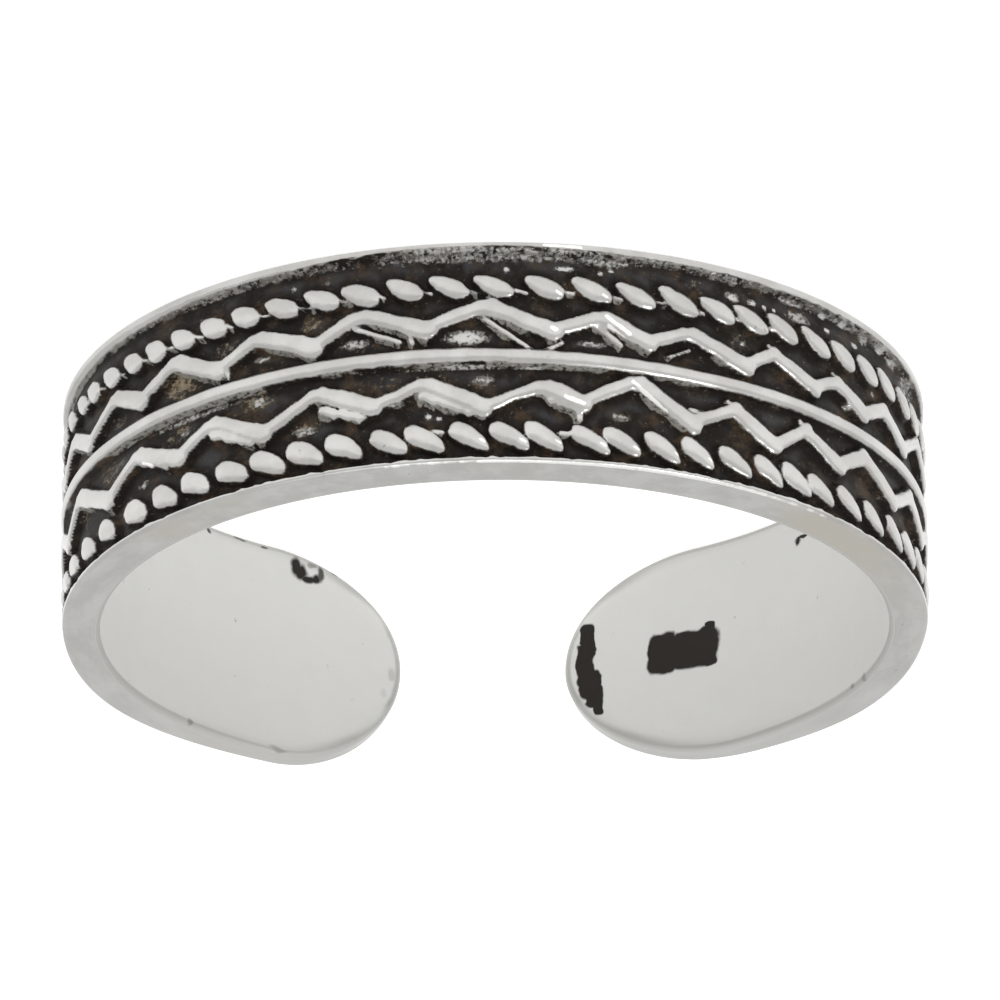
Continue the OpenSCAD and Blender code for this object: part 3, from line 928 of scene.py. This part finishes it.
def oxide_colour(n, place):
    """Sunk field: nearly black beside the raised forms, greyer between them, with brown dust,
    and light where the tarnish is rubbed thin."""
    away = n.math("MULTIPLY", n.ramp(n.value("edge"), -0.06, -0.3),
                  n.ramp(n.noise(place, 1.6, 3, 0.6), 0.35, 0.65))
    colour = n.mix_colour(away, DEEP_OXIDE, GREY_OXIDE)
    tint = n.ramp(n.noise(place, 1.9, 4, 0.7), 0.48, 0.72)
    colour = n.mix_colour(tint, colour, BROWN_OXIDE)
    dust = n.math("MULTIPLY_ADD", n.value("dust"), 0.24, n.noise(place, 9.0, 4, 0.7))
    colour = n.mix_colour(n.ramp(dust, 0.6, 0.86), colour, GOLDEN_DUST)
    colour = n.mix_colour(worn_share(n, place), colour, WORN_OXIDE)
    return n.mix_colour(thin_share(n, place), colour, THIN_OXIDE)


def silver_colour(n, place):
    """Polished metal: clouded, warm in places on the rims, pale and clean on the bore, with
    small pits, and painted highlights where reflections of the light fall."""
    cloud = n.ramp(n.noise(place, 1.7, 4, 0.6), 0.32, 0.68)
    colour = n.mix_colour(cloud, CLOUDED_SILVER, SILVER)
    warm = n.math("MULTIPLY", n.ramp(n.noise(place, 0.35, 2), 0.5, 0.7), n.value("rim"))
    colour = n.mix_colour(warm, colour, WARM_SILVER)
    colour = n.mix_colour(n.math("MULTIPLY", n.value("inner"), 0.9), colour, BORE_SILVER)
    # Darker band along the bore's rounded edge
    darker_band = n.math("MULTIPLY", n.ramp(n.value("crease"), 0.3, 0.95), 0.7)
    colour = n.mix_colour(darker_band, colour, DARKER_BAND_SILVER)
    pits = n.math("MULTIPLY", n.ramp(n.noise(place, 4.0, 3, 0.6), 0.7, 0.76), 0.5)
    colour = n.mix_colour(pits, colour, PITTED_SILVER)
    # Painted highlights: nearly white streaks where reflections of the light fall
    uneven = n.math("MULTIPLY_ADD", n.noise(place, 6.0, 3), 0.7, -0.35)
    painted_highlight = n.ramp(n.math("ADD", n.value("painted_highlight"), uneven), 0.3, 0.6)
    return n.mix_colour(painted_highlight, colour, HIGHLIGHT_PAINT_SILVER)


def shifted(n, place):
    """The places moved a little by noise, for uneven outlines."""
    noise = n.noise(place, 3.4, 2.0, 0.35, "Color")
    move = n.vector_math("SUBTRACT", noise, (0.5, 0.5, 0.5))
    move = n.vector_math("MULTIPLY", move, (0.19, 0.19, 0))
    return n.vector_math("ADD", place, move)


def from_middle(n, place, angle, z, half_u, half_z):
    """Place on the bore as seen from a blob's middle, in its half-widths."""
    away = n.vector_math("SUBTRACT", place, (math.radians(angle) * BORE_R, z, 0))
    return n.vector_math("MULTIPLY", away, (1 / half_u, 1 / half_z, 0))


def stain_share(n, place):
    """1 in the tarnish left on the bore."""
    place = shifted(n, place)
    total = 0.0
    for row in STAINS:
        shape = from_middle(n, place, *row)
        squares = n.vector_math("MULTIPLY", shape, shape)
        away = n.math("POWER", n.vector_math("DOT_PRODUCT", squares, squares), 0.25)
        total = n.math("MAXIMUM", total, n.ramp(away, 1.08, 0.92))
    for *row, strength in SPOTS:
        away = n.vector_math("LENGTH", from_middle(n, place, *row))
        total = n.math("MAXIMUM", total, n.math("MULTIPLY", n.ramp(away, 1.35, 0.6), strength))
    return n.math("MULTIPLY", total, n.value("inner"))


def silver_material():
    n = Nodes("oxidised_silver")
    place = n.vector("place")
    polished = polished_share(n, place)
    stain = stain_share(n, place)
    colour = n.mix_colour(polished, oxide_colour(n, place), silver_colour(n, place))
    n.put(n.shader.inputs["Base Color"], n.mix_colour(stain, colour, TARNISH))
    clean = n.math("SUBTRACT", 1.0, stain)
    metal = n.math("MULTIPLY", n.mix_value(polished, 0.1, 1.0), clean)
    n.put(n.shader.inputs["Metallic"], metal)
    smooth = n.mix_value(n.value("inner"), 0.26, 0.6)
    n.put(n.shader.inputs["Roughness"], n.mix_value(polished, 0.55, smooth))
    n.put(n.shader.inputs["Specular IOR Level"], 0.1)
    # The sunk field is pitted, and the raised forms nearly smooth
    pitted = n.mix_value(n.ramp(n.value("edge"), -0.03, 0.02), 1.0, 0.15)
    height = n.math("MULTIPLY", n.noise(place, 11.0, 3, 0.7), pitted)
    bump = n.add("ShaderNodeBump", {"Strength": 0.6, "Distance": 0.00003, "Height": height})
    n.put(n.shader.inputs["Normal"], bump.outputs["Normal"])
    return n.material


def floor_material():
    """White light table: pale, evenly lit from below."""
    n = Nodes("pale_floor")
    place = n.add("ShaderNodeTexCoord").outputs["Object"]
    looks = {"Base Color": n.mix_colour(n.noise(place, 900.0, 3), *FLOOR_GREYS), "Roughness": 0.9,
             "Specular IOR Level": 0.1, "Emission Color": WHITE, "Emission Strength": FLOOR_GLOW}
    for key, value in looks.items():
        n.put(n.shader.inputs[key], value)
    return n.material


# Surroundings

def add_floor():
    mesh = bpy.data.meshes.new("floor")
    corners = [(x * FLOOR_REACH, y * FLOOR_REACH, FLOOR_Z)
               for x, y in ((-1, -1), (1, -1), (1, 1), (-1, 1))]
    mesh.from_pydata(corners, [], [(0, 1, 2, 3)])
    add_piece("floor", mesh, floor_material())


def add_light(name, place, size, energy):
    data = bpy.data.lights.new(name, "AREA")
    data.shape, data.size, data.energy = "DISK", size, energy
    light = bpy.data.objects.new(name, data)
    light.location = place
    light.rotation_mode = "QUATERNION"
    light.rotation_quaternion = (-Vector(place)).to_track_quat("-Z", "Y")
    bpy.context.scene.collection.objects.link(light)


def add_world():
    world = bpy.data.worlds.new("studio")
    world.use_nodes = True
    background = world.node_tree.nodes["Background"]
    background.inputs["Color"].default_value = WHITE
    background.inputs["Strength"].default_value = SKY_STRENGTH
    bpy.context.scene.world = world


def add_camera():
    """The photo's view: above the floor, with the picture turned upside down."""
    right, down = Vector(CAMERA_RIGHT), Vector(CAMERA_DOWN)
    forward = right.cross(down).normalized()
    down = forward.cross(right).normalized()
    turn = Matrix((right.normalized(), -down, -forward)).transposed().to_4x4()
    data = bpy.data.cameras.new("camera")
    data.sensor_width, data.lens = SENSOR_W, FOCAL_LENGTH
    data.clip_start, data.clip_end = CLIP
    camera = bpy.data.objects.new("camera", data)
    camera.matrix_world = Matrix.Translation(Vector(CAMERA_PLACE) * MM) @ turn
    bpy.context.scene.collection.objects.link(camera)
    bpy.context.scene.camera = camera


band = add_piece("toe_ring", closed_mesh("toe_ring", *band_grid()), silver_material())
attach(band, "root")
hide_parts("band")

add_floor()
add_world()
for row in LIGHTS:
    add_light(*row)
add_camera()
bpy.context.scene.view_settings.view_transform = "Standard"
